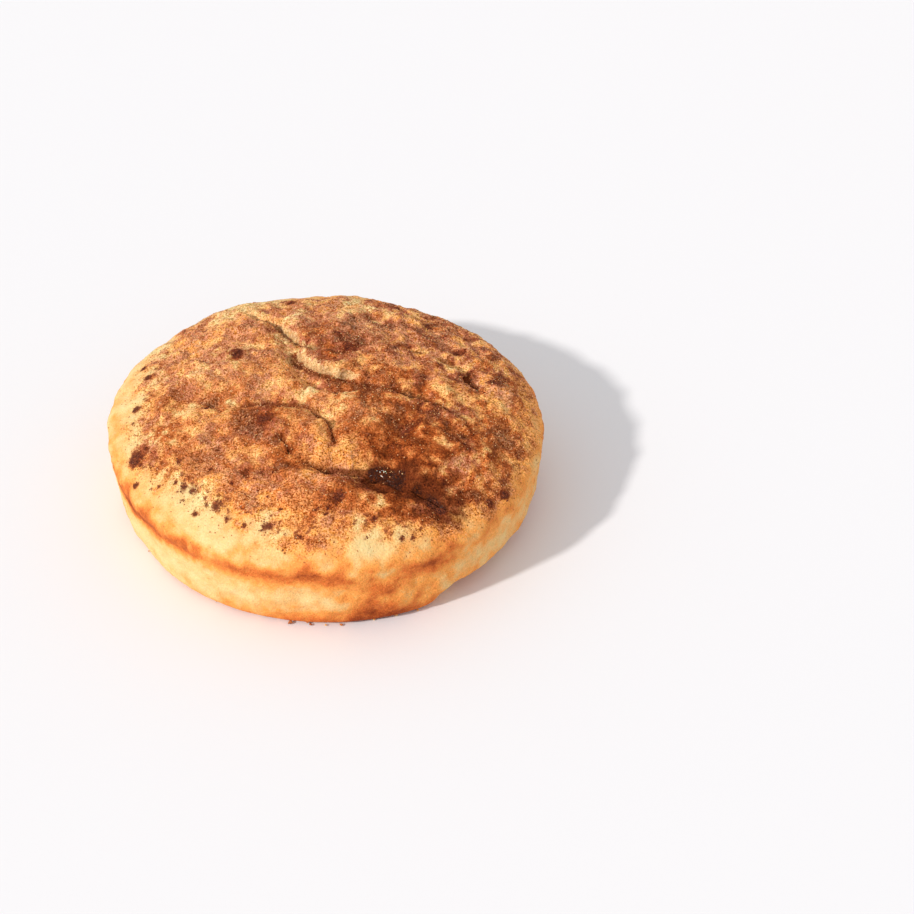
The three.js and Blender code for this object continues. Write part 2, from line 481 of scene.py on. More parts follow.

# %% [markdown]
# ## How thick the spice lies
#
# The coat is thick and rugged on the right and in the folds, and thin on the left. Melted sugar veils some
# places, dark specks gather along the edge, and the back is duller than the front. Each amount is noise
# with patches of more or less, like the swells, and is painted on the skin as an attribute. Some patches of
# thicker coat also darken fold edges and hollows as painted shade.

# %% Paint the coat of spice
# Patches of thicker coat; some darken fold edges and hollows as painted shade.
RICH_AND_SHADED_PATCHES = [
    (6, 28, 14, 0.25), (8, 18, 5, 0.25), (-28, 14, 6, 0.3), (-4, 21, 4, 0.2), (-8, 28, 4, 0.15),
    (-52, 12, 4, 0.2), (-42, 2, 9, 0.1), (-16, -17, 6, 0.35), (-37, -26, 8, 0.12), (-46, -22, 7, 0.2),
    (-16, -22, 9, 0.25), (-20, -14, 6, 0.2), (-32, 0, 8, 0.1), (-30, -5.5, 4, 0.2), (-20, -6.5, 5, 0.12),
    (-54, -21, 5, 0.3), (-47, -17.5, 5, 0.35), (2, 11, 4, 0.25), (12, -6, 9, 0.25), (10, -8, 7, 0.2),
    (0, -3, 3, 0.35), (2, 12, 5, 0.15), (-11, -8.5, 4, 0.1), (0, 8.5, 3.5, 0.25), (5, -24.5, 3.5, 0.25),
    (10, -21, 5, 0.3), (20, -26, 7, 0.2), (36, -20, 12, 0.2), (30, -10, 8, 0.25), (50, -20, 8, 0.1),
    (44, -27, 10, 0.15), (54, -30, 7, 0.15), (22, -28, 6, 0.15), (20, -16, 4, 0.2), (25, -19, 4, 0.3),
    (45, -24, 4, 0.2), (25, -31, 9, 0.35), (31, -35, 8, 0.2), (18, -41, 8, 0.26), (32, -44, 8, 0.45),
    (-8, -32, 5, 0.3), (6, -48, 5, 0.3), (42, -38, 7, 0.15), (14, -48, 9, 0.2), (-6, -42, 7, 0.15),
    (22, -46, 6, 0.16), (16, -38, 7, 0.15), (10.5, -43.5, 4, 0.3), (-19, -35, 4, 0.25),
    (-10, -35.5, 3.5, 0.2), (-2, -36.5, 3.5, 0.2), (7, -38, 3.5, 0.2), (0, -55, 4.5, 0.4),
    (-13.5, -54.5, 3, 0.3), (51, -38, 4, 0.25), (-20, -33, 4, 0.35), (33, -40, 4, 0.3),
    (21, -34.5, 3, 0.35), (25.5, -44.5, 3.5, 0.35),
]
BARE_PATCHES = [
    (-38, 26, 10, 0.12), (-24, 38, 7, 0.2), (2, 46, 8, 0.15), (-38, 26, 5, 0.15), (-32, 1, 5, 0.15),
    (-34, -14, 5, 0.2), (-25, -14, 4, 0.15), (-20, -28, 6, 0.15), (-54, 5, 5, 0.2), (-34, 10, 5, 0.15),
    (-14, -3, 5, 0.2), (-12, 11, 4, 0.2), (-4, -6, 4, 0.35), (3, -20, 3.5, 0.12), (0, -15, 4, 0.3),
    (11, 10, 5, 0.15), (-12, 4, 4, 0.15), (3, -29, 3, 0.2), (12, -34, 3, 0.2), (8, -31.5, 4, 0.3),
    (-1, -31, 3.5, 0.3), (44, -33, 6, 0.15), (33, -35, 5, 0.25), (28, -33, 3, 0.2), (-30, -38, 5, 0.3),
    (-20, -54.5, 4, 0.35), (10.5, -39.5, 3, 0.2), (37, -47, 4, 0.2), (6, -57, 3.5, 0.25),
    (-20, -48, 4, 0.45), (0, -47, 10, 0.1), (45, -32, 4, 0.15), (26, -33, 3.5, 0.3),
]
SUGAR_PATCHES = [
    (10, 30, 11, 0.35), (-32, 8, 14, 0.25), (-38, -26, 10, 0.2), (10, -14, 9, 0.3),
    (34, -26, 14, -0.1), (20, -28, 7, -0.15), (24, -42, 12, -0.2), (-10, -48, 12, -0.1),
]
COAT_DEPTH = (0.4, 0.4, 0.45, 0.2)
RUGGED_DEPTH = (0.06, 0, 0.25, 0.2)
SUGAR_DEPTH = (0.3, 0.5, 0.3, 0)
THINNEST_COAT = 0.16
SPECKS_WITHIN, SPECKS_AT_EDGE = 0.3, 0.5
EDGE_SHIFT, SPECK_FADE = 1.0, 5.0


def paint(piece, name, amounts):
    """Stores one amount for each vertex as an attribute of the piece."""
    layer = piece.data.attributes.new(name, "FLOAT", "POINT")
    layer.data.foreach_set("value", np.clip(amounts, 0, 1).astype(np.float32))


rugged = ease(plan[:, 0], low=8, high=24)
depth = uneven(*COAT_DEPTH) + rugged * uneven(*RUGGED_DEPTH)
depth += patchwork(plan, RICH_AND_SHADED_PATCHES) - patchwork(plan, BARE_PATCHES)
coat = cover * np.clip(depth, THINNEST_COAT, 1)
sugar = cover * (uneven(*SUGAR_DEPTH) + patchwork(plan, SUGAR_PATCHES))
edge_specks = bell(inside - EDGE_SHIFT, SPECK_FADE)
paint(crust, "coat", coat)
paint(crust, "cover", cover)
paint(crust, "sugar", sugar)
paint(crust, "dull", ease(plan[:, 1], low=-10, high=30))
paint(crust, "torn", torn_share)
paint(crust, "specks", on_top * (SPECKS_WITHIN * cover + SPECKS_AT_EDGE * edge_specks))
print("the coat hides", round(100 * float(coat.mean())), "% of the dough")

# %% [markdown]
# ## Dark clumps and melted sugar
#
# Lumps of spice scorched where they fell, small grains strayed past the coat's edge, and in the fold at the
# right front the sugar ran together. Round spots would look stamped. So the skin's places are wavered
# before their distance to a spot is measured, which makes its outline ragged.

# %% Paint the dark clumps and the melted sugar
SCORCHED_SPOTS = [
    (-55, 20, 1.0), (-26, 14, 2.4), (7, 16, 2.2), (4, 21, 1.3), (13, 34, 1.4), (40, 22, 2.2), (20, 48, 1.5),
    (-12, 50, 1.6), (30, 36, 1.4), (-38, 34, 1.0), (-53.6, -20.5, 2.1), (-53, -23.6, 2.3), (-55, -2.2, 1.3),
    (-53, 12, 1.3), (-16, -18.5, 2.6), (-33, -9, 1.6), (-40, -29, 1.1), (50, 8, 1.5), (-53, -30.5, 1.2),
    (-35, -39.5, 1.6), (-37.8, -38, 1.3), (-28, -46.5, 1.7), (-24.7, -50.6, 1.1), (-34, -47, 0.8),
    (-13.3, -54.6, 1.6), (-4, -58.5, 0.8), (6.5, -48, 1.8), (14.3, -43, 1.5), (16.5, -53, 1.0),
    (31.5, -43.4, 2.2), (34.6, -44.8, 2.4), (48.2, -39.6, 1.5), (52.8, -35.4, 1.8), (-24, -40, 1.0),
    (24, -57, 0.8), (27, -56, 0.8), (-20, -37, 0.9), (-31, -33, 0.8), (-10, -50, 0.9), (-20, -53, 0.8),
]
SPRINKLES = 60
SPRINKLES_FROM, SPRINKLES_TO = (-180, -9, 0.3), (-70, 3.5, 0.65)
SPRINKLE_SHARE = 0.8
SPOT_WAVER, WAVER_SEEDS = 0.8, (4.7, 8.3, 2.9)
DARK_BAND = [(18, -36.2), (22, -37), (27, -39.2), (31, -41.3), (37, -44.5)]
DARK_BAND_WIDTH = 6.0
CARAMEL_POOLS = [
    (15.5, -35.8, 2.0, 1), (19, -35.6, 2.8, 1), (23, -37, 2.5, 1), (28, -39.6, 1.8, 1), (31.5, -43, 2.6, 1),
    (34.5, -44.4, 2.6, 1),
]
CLUMP_DEPTH = (0.95, 0, 0.4, 0.4)
SYRUP_DEPTH = (1.0, 0.3, 0.5, 0)
CARAMEL_DEPTH = (1.0, 0, 0.4, 0)
RING_HEIGHT, CLUMPS_FULL = 20.0, 24.0


def spots_in(spots):
    """The sum of soft spots on the skin, each at the place of the crown over a point of the plan."""
    total = np.zeros(len(places))
    for x, y, radius in spots:
        away = np.where(on_top > 0, np.hypot(plan[:, 0] - x, plan[:, 1] - y), np.inf)
        total += bell(np.linalg.norm(wavered - places[away.argmin()], axis=1), radius)
    return total


rng = np.random.default_rng(seed=5)
turns, shifts, radii = rng.uniform(SPRINKLES_FROM, SPRINKLES_TO, (SPRINKLES, 3)).T
reach, angles = by_bearing(COAT_EDGE, turns) + shifts, np.radians(turns)
sprinkled = np.column_stack([reach * np.cos(angles), reach * np.sin(angles), radii])
waver = np.column_stack([mottle(places, size=2.2, seed=seed) for seed in WAVER_SEEDS])
wavered = places + SPOT_WAVER * waver
spots = spots_in(SCORCHED_SPOTS) + SPRINKLE_SHARE * spots_in(sprinkled)
band_away, _, _ = lie_of(plan, smooth_line(DARK_BAND))
off_rim = ease(height, RING_HEIGHT, CLUMPS_FULL)
clumps = off_rim * np.clip(spots, 0, 1) * uneven(*CLUMP_DEPTH)
syrup = on_top * bell(band_away, DARK_BAND_WIDTH) * uneven(*SYRUP_DEPTH)
scorch = clumps + syrup
caramel = on_top * np.clip(patchwork(plan, CARAMEL_POOLS), 0, 1) * uneven(*CARAMEL_DEPTH)
paint(crust, "scorch", clumps)
# The darkened creases, painted shade with gathered spice, share one attribute with the dark syrup.
paint(crust, "stain", crease_shade_and_spice + syrup)
paint(crust, "caramel", caramel)
print("painted", len(SCORCHED_SPOTS) + SPRINKLES, "clumps and", len(CARAMEL_POOLS), "pools of caramel")

# %% [markdown]
# ## How brown the dough baked
#
# Dough browns most along the ring line, at the hem on the hot tray and on top, and the foot inside the ring
# stays pale. One noise for all would lose these zones. So each is a soft band by height or by bearing, and
# the bands add up. On the right, away from the lamp, the slope is made warmer as painted bounce light in its
# shade, and the crown is browned further as painted shade.

# %% Paint how brown the dough baked
RING_LINE = [
    (-180, 19.6), (-153, 19.4), (-146, 19.9), (-135, 20.1), (-121, 20.6), (-108, 20.5), (-94, 21.3),
    (-84, 20.9), (-73, 18.4), (-61, 20.1), (-45, 20.2), (180, 19.6),
]
RING_STRENGTH = [
    (-180, 0.5), (-160, 0.76), (-150, 0.74), (-135, 0.66), (-121, 0.6), (-108, 0.64), (-100, 0.72),
    (-94, 0.72), (-84, 0.74), (-73, 0.3), (-65, 0.52), (-60, 0.48), (-50, 0.06), (-35, 0.06), (0, 0.2),
    (90, 0.35), (180, 0.5),
]
HEM_STRENGTH = [
    (-180, 0.1), (-125, 0.2), (-108, 0.42), (-97, 0.42), (-88, 0.66), (-75, 0.5), (-65, 0.5), (-55, 0.3),
    (-30, 0.3), (90, 0.3), (180, 0.1),
]
FOOT_BROWN = [
    (-180, 0), (-125, 0.06), (-110, 0.14), (-95, 0.19), (-80, 0.18), (-60, 0.15), (-48, 0.2), (-35, 0.22),
    (90, 0.2), (140, 0.1), (180, 0),
]
# Browning of the slope by bearing; on the right the higher values are painted warm bounce light in the shade.
SLOPE_BROWN_AND_BOUNCE = [
    (-180, 0.1), (-168, 0.16), (-155, 0.22), (-145, 0.2), (-135, 0.08), (-110, 0), (-90, 0.02), (-78, 0.05),
    (-66, 0.2), (-58, 0.34), (-45, 0.4), (0, 0.36), (60, 0.24), (120, 0.18), (150, 0.12), (180, 0.1),
]
PALER_PATCHES = [
    (-30, -5, 7, 0.1), (-17, -5, 7, 0.1), (-4, -7, 4, 0.3), (0, -15, 4, 0.15), (4, -24, 3, 0.1),
    (-10, -30, 5, 0.08), (4, -32, 4.5, 0.2),
]
BROWNER_PATCHES = [(-25, -50, 4, 0.25), (-13.5, -52.5, 3, 0.2), (1, -54.5, 5, 0.3), (34, -50, 8, 0.15)]
FRONT_BROWN = [(-2, -48, 20, 0.54)]
# Further browning on the crown's right, away from the lamp: painted shade.
RIGHT_PAINTED_SHADE = 0.15
TOP_BROWN = (0.34, 0.2, 0, 0)
SIDE_BROWN = (0.03, 0.2, 0.18, 0)
CORNER_BROWN = (0.38, 0.12, 0.05, 0)
BASE_BROWN = 0.45
RING_WAVER = (0, 1.2, 1.4, 0.8)
RING_ABOVE, RING_BELOW, RING_GLOW = 4.4, 3.7, 8.0
CORE_SHARE, GLOW_SHARE = 0.78, 0.22
HEM_HEIGHT, FOOT_TOP = 6.5, 14.0
CORNER_BEARING, CORNER_SPREAD = -71, 10
BAKED_REACH = (0, 5, 3, 0)

above_ring = height - by_bearing(RING_LINE, bearing) - uneven(*RING_WAVER)
core = bell(above_ring, np.where(above_ring > 0, RING_ABOVE, RING_BELOW))
glow = bell(above_ring, np.where(above_ring > 0, RING_GLOW, RING_BELOW))
ring = by_bearing(RING_STRENGTH, bearing) * (CORE_SHARE * core + GLOW_SHARE * glow)
hem = by_bearing(HEM_STRENGTH, bearing) * bell(height, HEM_HEIGHT)
on_foot = 1 - ease(height, FOOT_TOP, RING_HEIGHT)
foot_corner = on_foot * bell(bearing - CORNER_BEARING, CORNER_SPREAD) * uneven(*CORNER_BROWN)
baked_top = ease(inside + uneven(*BAKED_REACH), low=-5, high=9) * on_top
slope = (1 - on_foot) * (1 - baked_top)
browning = uneven(*SIDE_BROWN) + ring + hem + foot_corner
# The slope's warmer right side here is painted bounce light.
browning += on_foot * by_bearing(FOOT_BROWN, bearing) + slope * by_bearing(SLOPE_BROWN_AND_BOUNCE, bearing)
# The last term adds painted shade on the crown's right.
browning += baked_top * (uneven(*TOP_BROWN) + patchwork(plan, FRONT_BROWN) + RIGHT_PAINTED_SHADE * rugged)
browning += on_top * (patchwork(plan, BROWNER_PATCHES) - patchwork(plan, PALER_PATCHES))
browning[base_from:] = BASE_BROWN
paint(crust, "browning", browning)
print("the dough bakes up to", round(float(browning.max()), 2))

# %% [markdown]
# ## Lumps, wrinkles and grain
#
# Gas lifts soft lumps under the crust, the skin wrinkles as it dries, and sugar makes it grainy. Three
# Displace modifiers with cloud textures, from broad to fine, give the bread this unevenness. Vertex groups
# keep the base flat, the moulded foot smoother than the crown, and the grain where the coat is.

# %% Displace the crust
RELIEFS = {
    "lumps": {"size": 8.0, "octaves": 1, "height": 3.8, "group": "uneven"},
    "wrinkles": {"size": 3.4, "octaves": 2, "height": 2.2, "group": "grainy"},
    "grain": {"size": 1.2, "octaves": 1, "height": 0.9, "group": "grainy"},
}
FOOT_RELIEF, FOOT_GRAIN, CORNER_GRAIN = 0.4, 0.26, 0.4
WEIGHT_LEVELS = 16


def add_weights(piece, name, weights):
    """Makes a vertex group whose weights come from an array."""
    group = piece.vertex_groups.new(name=name)
    level_of = np.round(np.clip(weights, 0, 1) * WEIGHT_LEVELS).astype(int)
    for level in range(1, WEIGHT_LEVELS + 1):
        group.add(np.flatnonzero(level_of == level).tolist(), level / WEIGHT_LEVELS, "REPLACE")


off_ground = ease(height, low=0.3, high=3)
well_inside = ease(inside, low=-2, high=10) * on_top
grainy = FOOT_GRAIN + (1 - FOOT_GRAIN) * well_inside + CORNER_GRAIN * foot_corner
add_weights(crust, "uneven", off_ground * (FOOT_RELIEF + (1 - FOOT_RELIEF) * well_inside))
add_weights(crust, "grainy", off_ground * grainy)
choose(crust)
for name, relief in RELIEFS.items():
    pattern = bpy.data.textures.new(name, "CLOUDS")
    pattern.noise_scale = relief["size"] * MM
    pattern.noise_depth = relief["octaves"]
    bpy.ops.object.modifier_add(type="DISPLACE")
    displace = crust.modifiers[-1]
    displace.texture = pattern
    displace.texture_coords = "LOCAL"
    displace.vertex_group = relief["group"]
    displace.strength = relief["height"] * MM
    bpy.ops.object.modifier_apply(modifier=displace.name)
print("displaced the crust by", ", ".join(RELIEFS))

# %% [markdown]
# ## Melted sugar
#
# In the fold at the right front the sugar ran together and boiled to a dark, glossy caramel. A liquid fills
# the pores and lies smooth, so that stretch of the crust is smoothed again after the grain was pressed in.

# %% Let the melted sugar level the crust
POOL_FROM = 0.3

in_caramel = caramel > POOL_FROM
smooth_vertices(crust, in_caramel, rounds=6)
print("levelled", int(in_caramel.sum()), "points of the pool")

# %% [markdown]
# ## Keeping to size
#
# The visual loaf is kept within the imported one's box, and the spice will lie on top of the crust. So the
# skin is drawn in by a fraction of a millimetre at the rim and the crown, and nothing is left below the
# ground.

# %% Draw the skin inside the imported box
RIM_ROOM = 0.3
CROWN_ROOM = 0.6
SHARP_ANGLE = math.radians(60)

low, high = (np.array(corner) / MM for corner in cad_box)
places = places_of(crust)
places[:, 2] = np.clip(places[:, 2], 0, None)
for axis, room in enumerate((RIM_ROOM, RIM_ROOM, CROWN_ROOM)):
    reach = places[:, axis].max()
    places[:, axis] *= np.where(places[:, axis] > 0, min(1, (high[axis] - room) / reach), 1)
for axis in (0, 1):
    reach = places[:, axis].min()
    places[:, axis] *= np.where(places[:, axis] < 0, min(1, (low[axis] + RIM_ROOM) / reach), 1)
move_to(crust, places)
choose(crust)
bpy.ops.object.shade_smooth_by_angle(angle=SHARP_ANGLE)
print("the skin reaches", places.min(0).round(2), "to", places.max(0).round(2))

# %% [markdown]
# ## Tools for mixing a material
#
# A material is a small network of nodes. These helpers add one node each and name what it does, so that the
# recipes below read like a baker's list: how much of what, and over what.

# %% Make the mixing tools
GRAIN_CHANGE = (2.0, 2.65, 3.9)
NOISE_MIDDLE = 0.5


def add_node(tree, kind, inputs, **settings):
    """Adds a shader node, sets its options, and fills its inputs with values or links."""
    made = tree.nodes.new(kind)
    for name, value in settings.items():
        setattr(made, name, value)
    for name, value in inputs.items():
        if isinstance(value, bpy.types.NodeSocket):
            tree.links.new(value, made.inputs[name])
        else:
            made.inputs[name].default_value = value
    return made


def blend_of(first, *others):
    """The first amount plus a share of each other one, given as (amount, share)."""
    for amount, share in others:
        total = {0: amount, 1: share, 2: first}
        first = add_node(first.id_data, "ShaderNodeMath", total, operation="MULTIPLY_ADD").outputs[0]
    return first


def product_of(first, second):
    """One amount times another."""
    return add_node(first.id_data, "ShaderNodeMath", {0: first, 1: second}, operation="MULTIPLY").outputs[0]


def speckle(where, size):
    """Noise between about -0.3 and 0.3, with grains of a size in millimetres."""
    inputs = {"Vector": where, "Scale": 1 / (size * MM)}
    cloud = add_node(where.id_data, "ShaderNodeTexNoise", inputs).outputs["Fac"]
    inputs = {0: cloud, 1: NOISE_MIDDLE}
    return add_node(where.id_data, "ShaderNodeMath", inputs, operation="SUBTRACT").outputs[0]


def tint(red, green, blue):
    """A colour given as a screen shows it, from 0 to 255, as the shader wants it."""
    shown = np.array((red, green, blue)) / 255
    return (*np.where(shown > 0.04045, ((shown + 0.055) / 1.055) ** 2.4, shown / 12.92), 1)


def ramp(amount, stops):
    """A colour that changes along an amount through a list of (place, red, green, blue)."""
    made = add_node(amount.id_data, "ShaderNodeValToRGB", {"Fac": amount})
    for spot, (place, *colour) in enumerate(stops):
        at = made.color_ramp.elements[spot] if spot < 2 else made.color_ramp.elements.new(place)
        at.position = place
        at.color = tint(*colour)
    return made.outputs["Color"]


def step_up(amount, low, high, top=1.0):
    """Turns an amount into a share that rises from 0 at low to its top at high."""
    inputs = {"Value": amount, "From Min": low, "From Max": high, "To Max": top}
    made = add_node(amount.id_data, "ShaderNodeMapRange", inputs, interpolation_type="SMOOTHSTEP")
    return made.outputs["Result"]


def mix(share, under, over):
    """Lays one colour over another by a share."""
    inputs = {0: share, 6: under, 7: over}
    return add_node(share.id_data, "ShaderNodeMix", inputs, data_type="RGBA").outputs[2]


def grained(colour, amount):
    """Lightens and darkens a colour in grains: blue most and red least, so that dark grains stay warm."""
    inputs = {0: GRAIN_CHANGE, "Scale": amount}
    change = add_node(colour.id_data, "ShaderNodeVectorMath", inputs, operation="SCALE").outputs[0]
    inputs = {0: colour, 1: change, 2: colour}
    return add_node(colour.id_data, "ShaderNodeVectorMath", inputs, operation="MULTIPLY_ADD").outputs[0]


def painted(tree, name):
    """An amount that was painted on the piece."""
    return add_node(tree, "ShaderNodeAttribute", {}, attribute_name=name).outputs["Fac"]


def new_finish(name):
    """A new material, with its nodes, its shader and the places on the piece."""
    finish = bpy.data.materials.new(name)
    finish.use_nodes = True
    tree = finish.node_tree
    where = add_node(tree, "ShaderNodeTexCoord", {}).outputs["Object"]
    return finish, tree, tree.nodes["Principled BSDF"], where


print("the mixing tools are ready")

# %% [markdown]
# ## Dough and spice
#
# The crust's material mixes its layers in the order in which they came about: pale dough, browned by the
# oven, then the cinnamon coat, warm in some places and plum brown in others. Noise of several sizes breaks
# up each painted amount, so that the spice looks like powder and not like paint.

# %% Mix the dough and the spice
DOUGH_TINTS = [
    (0.0, 228, 200, 140), (0.2, 233, 186, 121), (0.42, 238, 158, 79), (0.7, 212, 114, 52),
    (1.0, 150, 66, 26),
]
WARM_SPICE_TINTS = [
    (0.1, 231, 168, 102), (0.35, 214, 140, 79), (0.6, 188, 104, 50), (0.8, 162, 80, 32),
    (1.0, 122, 52, 12),
]
PLUM_SPICE_TINTS = [
    (0.1, 226, 168, 116), (0.35, 204, 137, 96), (0.6, 174, 101, 66), (0.8, 144, 73, 45),
    (1.0, 104, 47, 27),
]
SPECKLE_SIZES = (7, 2.4, 1.0, 0.55, 0.36)

crust_finish, tree, shader, where = new_finish("baked_crust")
clouds, patches, grains, dust, sand = (speckle(where, size) for size in SPECKLE_SIZES)
baked, coating, covered, torn_open = (painted(tree, name) for name in ("browning", "coat", "cover", "torn"))

freckles = product_of(baked, blend_of(grains, (dust, 1.0)))
browned = blend_of(baked, (clouds, 0.28), (patches, 0.3), (freckles, 0.6))
dough = ramp(browned, DOUGH_TINTS)
spice_amount = blend_of(coating, (clouds, 0.4), (patches, 0.6), (grains, 0.35))
warm_spice = ramp(spice_amount, WARM_SPICE_TINTS)
plum_spice = ramp(spice_amount, PLUM_SPICE_TINTS)
plum_cloud = speckle(where, size=11)
plum_amount = blend_of(plum_cloud, (patches, 0.5), (painted(tree, "dull"), 0.22))
spice = mix(step_up(plum_amount, low=0.0, high=0.2), warm_spice, plum_spice)
powder = blend_of(coating, (patches, 0.8), (grains, 0.8), (dust, 0.3))
powder_cover = step_up(powder, low=0.02, high=0.5)
spice_cover = product_of(powder_cover, step_up(covered, low=0.02, high=0.35))
coated = mix(spice_cover, dough, spice)
print("mixed", len(DOUGH_TINTS), "tints of dough and", 2 * len(WARM_SPICE_TINTS), "of spice")

# %% [markdown]
# ## Sugar, tears and dark spots
#
# Over the spice lie a thin veil of melted sugar and dark specks. Then come the torn edges, where pale crumb
# shows, the darkened creases of the folds, which are partly gathered spice and partly painted shade, the
# dark syrup, the scorched clumps and the caramel. Each is one colour or one ramp, laid over the last by its
# own share.

# %% Lay sugar, tears and dark spots over the spice
VEIL_TINT = tint(242, 186, 134)
SPECK_TINTS = [(0.7, 170, 94, 48), (1.0, 108, 48, 26)]
TORN_TINT = tint(243, 202, 143)
# The dark brown of the creases, which is partly painted shade, and of the syrup.
SHADE_AND_STAIN_TINT = tint(100, 42, 14)
SCORCH_TINTS = [(0.1, 186, 98, 46), (0.5, 128, 53, 21), (0.95, 62, 24, 17)]
CARAMEL_TINT = tint(60, 21, 3)

veil_amount = blend_of(painted(tree, "sugar"), (grains, 1.0), (patches, 0.6))
veiled = mix(step_up(veil_amount, low=0.3, high=1.0, top=0.25), coated, VEIL_TINT)
speck_cloud = speckle(where, size=1.5)
speck_amount = blend_of(painted(tree, "specks"), (speck_cloud, 1.8), (dust, 0.8))
speck_cover = step_up(speck_amount, low=0.72, high=0.92, top=0.85)
specked = mix(speck_cover, veiled, ramp(speck_amount, SPECK_TINTS))
torn_amount = blend_of(torn_open, (patches, 0.5))
torn = mix(step_up(torn_amount, low=0.25, high=0.7, top=0.85), specked, TORN_TINT)
# The creases darken: partly gathered spice, partly painted shade; the dark syrup comes with them.
shade_and_stain_amount = blend_of(painted(tree, "stain"), (patches, 0.5))
shaded_and_stained = mix(step_up(shade_and_stain_amount, low=0.15, high=0.8, top=0.85), torn, SHADE_AND_STAIN_TINT)
scorch_amount = blend_of(painted(tree, "scorch"), (patches, 0.4), (grains, 0.6), (dust, 0.2))
scorch_cover = step_up(scorch_amount, low=0.05, high=0.7, top=0.95)
scorched = mix(scorch_cover, shaded_and_stained, ramp(scorch_amount, SCORCH_TINTS))
caramel_amount = blend_of(painted(tree, "caramel"), (patches, 0.6))
caramel_cover = step_up(caramel_amount, low=0.3, high=0.9)
glazed = mix(caramel_cover, scorched, CARAMEL_TINT)
print("the recipe has", len(tree.nodes), "nodes so far")

# %% [markdown]
# ## Grain and gloss
#
# Fine grit lightens and darkens the colour, most in the coat and least on the torn crumb. A bump adds what is
# too fine for the mesh. Bread is matt and lets a little light in under its skin; only the caramel has a
# rippled, glossy coat.

# %% Finish the crust
CRUST_LOOK = {
    "Roughness": 0.75, "Specular IOR Level": 0.1, "Coat Roughness": 0.1, "Subsurface Weight": 0.12,
    "Subsurface Radius": (1.0, 0.5, 0.2), "Subsurface Scale": 2 * MM,
}
LEAST_GRIT = 0.12

grit = blend_of(dust, (sand, 0.9), (grains, 0.3))
coat_grit = step_up(covered, low=0.0, high=0.6, top=0.9)
grit_share = blend_of(coat_grit, (baked, 0.5), (torn_open, -0.6), (LEAST_GRIT, 1.0))
gritty = grained(glazed, product_of(grit, grit_share))
ripples = {"Height": blend_of(grains, (patches, 0.8)), "Distance": 0.8 * MM}
rough_height = blend_of(grains, (dust, 0.8), (sand, 0.5))
bumps = {"Height": rough_height, "Strength": 0.8, "Distance": 0.3 * MM}
crust_links = {
    "Base Color": gritty,
    "Coat Weight": step_up(caramel_cover, low=0.0, high=1.0, top=0.12),
    "Coat Normal": add_node(tree, "ShaderNodeBump", ripples).outputs["Normal"],
    "Normal": add_node(tree, "ShaderNodeBump", bumps).outputs["Normal"],
}
for name, output in crust_links.items():
    tree.links.new(output, shader.inputs[name])
set_inputs(shader, CRUST_LOOK)
crust.data.materials.append(crust_finish)
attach(crust, "root")
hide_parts("focaccia")
print("the crust's material has", len(tree.nodes), "nodes")

# %% [markdown]
# ## Tools for scattering
#
# Ground cinnamon and sugar are thousands of tiny bodies. A particle system would be lost in the export, so
# a few rough shapes are modelled and copied into one joined mesh. A seeded random draw spreads the copies
# over the skin's triangles, more where these are larger and the spice is thicker.

# %% Make the scattering tools
SHAPE_KINDS = 4
CUBE = (bpy.ops.mesh.primitive_cube_add, {"size": 1})
BALL = (bpy.ops.mesh.primitive_ico_sphere_add, {"subdivisions": 1, "radius": 0.5})

corner_ids = np.empty(3 * len(crust.data.loop_triangles), np.int32)
crust.data.loop_triangles.foreach_get("vertices", corner_ids)
skin_corners = corner_ids.reshape(-1, 3)
skin_triangles = places_of(crust)[skin_corners]
first, second, third = skin_triangles.transpose(1, 0, 2)
skin_crosses = np.cross(second - first, third - first)
skin_areas = np.linalg.norm(skin_crosses, axis=1) / 2


def spots_on_skin(rng, count, weights):
    """Random places on the crust by a weight for each vertex: the spots, normals and nearest vertices."""
    chances = skin_areas * np.clip(weights, 0, None)[skin_corners].mean(1)
    chosen = rng.choice(len(skin_corners), count, p=chances / chances.sum())
    shares = rng.dirichlet((1, 1, 1), count)
    spots = np.einsum("nk,nkj->nj", shares, skin_triangles[chosen])
    return spots, skin_crosses[chosen] / (2 * skin_areas[chosen, None]), skin_corners[chosen, 0]


def sizes_between(rng, count, least, most, power):
    """Random sizes between two limits. A higher power makes more of them small."""
    return least + (most - least) * rng.random(count) ** power


def frames_on(rng, normals):
    """One frame of axes for each normal, spun at random about it."""
    across = np.cross(normals, rng.normal(size=normals.shape))
    across /= np.linalg.norm(across, axis=1, keepdims=True)
    return np.stack([across, np.cross(normals, across), normals], axis=2)


def rough_shapes(primitive, shake):
    """Models a few small shapes, each about 1 across with shaken corners: their corners and triangles."""
    add, options = primitive
    shapes = []
    for seed in range(SHAPE_KINDS):
        add(**options)
        shape = bpy.context.object
        set_mode("EDIT")
        bpy.ops.mesh.select_all(action="SELECT")
        bpy.ops.transform.vertex_random(offset=shake, seed=seed)
        bpy.ops.mesh.quads_convert_to_tris()
        set_mode("OBJECT")
        faces = np.array([tuple(face.vertices) for face in shape.data.polygons])
        shapes.append((places_of(shape) * MM, faces))
        bpy.data.objects.remove(shape)
    return shapes


